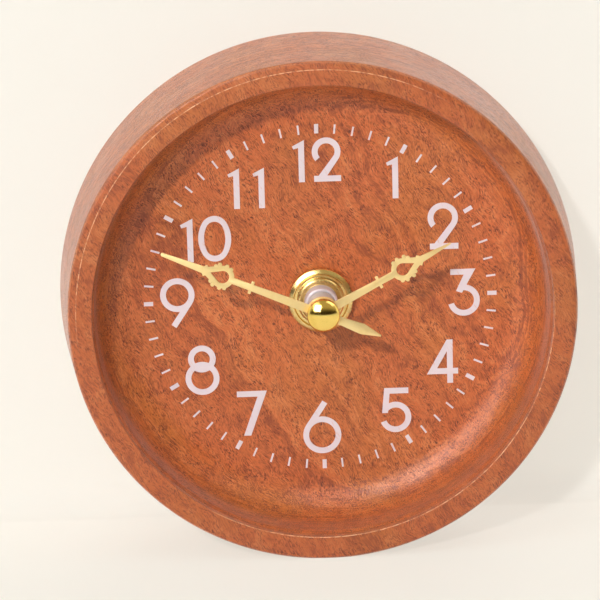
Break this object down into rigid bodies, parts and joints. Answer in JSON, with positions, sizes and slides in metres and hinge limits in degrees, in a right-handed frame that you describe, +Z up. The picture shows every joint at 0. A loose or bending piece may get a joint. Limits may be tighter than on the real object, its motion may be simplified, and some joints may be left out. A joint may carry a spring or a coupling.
{
  "type": "desk clock",
  "caption": "Round wooden desk clock with a turned bowl face, printed dial, brass hands and a quartz movement in its back.",
  "frame": {"origin": "on the base flat, straight under the dial's centre, in the plane of the dial's surface", "axes": "+X to the right as seen from the front, +Y from the dial towards the back, +Z up; the hands' axis runs along Y"},
  "size_m": [0.1097, 0.0401, 0.1069],
  "materials": {
    "wood": "oiled satin",
    "dial_print": "matt",
    "polished_brass": "polished",
    "satin_brass": "satin",
    "plated_metal": "satin",
    "steel": "satin",
    "lamination_steel": "satin",
    "rubber": "matt",
    "white_plastic": "satin",
    "amber_plastic": "satin",
    "black_plastic": "matt",
    "magnet": "matt",
    "copper_wire": "enamelled",
    "board": "satin",
    "cell_jacket": "satin"
  },
  "bodies": {
    "case": {"case": "wood", "hour_numerals": "dial_print", "hour_marks": "dial_print", "minute_marks": "dial_print", "dial_washer": "steel", "fixing_nut": "polished_brass", "threaded_bushing": "plated_metal", "rubber_washer": "rubber", "front_plate": "black_plastic", "middle_plate": "white_plastic", "rear_cover": "black_plastic", "stator": "lamination_steel", "coil_core": "lamination_steel", "coil_bobbin": "white_plastic", "coil_winding": "copper_wire", "core_rivets": "satin_brass", "circuit_board": "board", "chip": "black_plastic", "quartz_crystal": "plated_metal", "positive_contact": "steel", "negative_contact": "steel"},
    "minute_works": {"minute_arbor": "white_plastic", "minute_hand": "satin_brass", "hand_cap": "polished_brass"},
    "hour_works": {"hour_wheel": "white_plastic", "hour_hand": "satin_brass"},
    "motion_works": {"motion_wheel": "white_plastic", "set_knob": "black_plastic"},
    "centre_wheel": {"centre_wheel": "amber_plastic"},
    "third_wheel": {"third_wheel": "white_plastic"},
    "seconds_wheel": {"seconds_wheel": "amber_plastic"},
    "intermediate_wheel": {"intermediate_wheel": "white_plastic"},
    "rotor": {"rotor_pinion": "amber_plastic", "rotor_magnet": "magnet"},
    "battery_cell": {"battery_cell": "cell_jacket"}
  },
  "joints": [
    {"name": "minute_arbor_spin", "type": "hinge", "parent": "case", "child": "minute_works", "pos_m": [0, 0, 0.05205], "axis": [0, 1, 0], "continuous": true},
    {"name": "hour_wheel_spin", "type": "hinge", "parent": "case", "child": "hour_works", "pos_m": [0, 0, 0.05205], "axis": [0, 1, 0], "continuous": true},
    {"name": "motion_wheel_spin", "type": "hinge", "parent": "case", "child": "motion_works", "pos_m": [0.0105, 0, 0.05205], "axis": [0, 1, 0], "continuous": true},
    {"name": "seconds_wheel_spin", "type": "hinge", "parent": "case", "child": "seconds_wheel", "pos_m": [0, 0, 0.05205], "axis": [0, 1, 0], "continuous": true},
    {"name": "third_wheel_spin", "type": "hinge", "parent": "case", "child": "third_wheel", "pos_m": [-0.00864, 0, 0.05205], "axis": [0, 1, 0], "continuous": true},
    {"name": "centre_wheel_spin", "type": "hinge", "parent": "case", "child": "centre_wheel", "pos_m": [0, 0, 0.05205], "axis": [0, 1, 0], "continuous": true},
    {"name": "intermediate_wheel_spin", "type": "hinge", "parent": "case", "child": "intermediate_wheel", "pos_m": [-0.00152, 0, 0.06067], "axis": [0, 1, 0], "continuous": true},
    {"name": "rotor_spin", "type": "hinge", "parent": "case", "child": "rotor", "pos_m": [-0.00682, 0, 0.06597], "axis": [0, 1, 0], "continuous": true},
    {"name": "battery_cell_lift", "type": "slide", "parent": "case", "child": "battery_cell", "axis": [0, 1, 0], "range_m": [0, 0.02]}
  ],
  "couplings": [
    {"joint": "hour_wheel_spin", "follows": "minute_arbor_spin", "ratio": 0.083333},
    {"joint": "motion_wheel_spin", "follows": "minute_arbor_spin", "ratio": -0.33333},
    {"joint": "third_wheel_spin", "follows": "seconds_wheel_spin", "ratio": -0.13333},
    {"joint": "centre_wheel_spin", "follows": "seconds_wheel_spin", "ratio": 0.016667},
    {"joint": "intermediate_wheel_spin", "follows": "seconds_wheel_spin", "ratio": -6},
    {"joint": "rotor_spin", "follows": "seconds_wheel_spin", "ratio": 30}
  ]
}
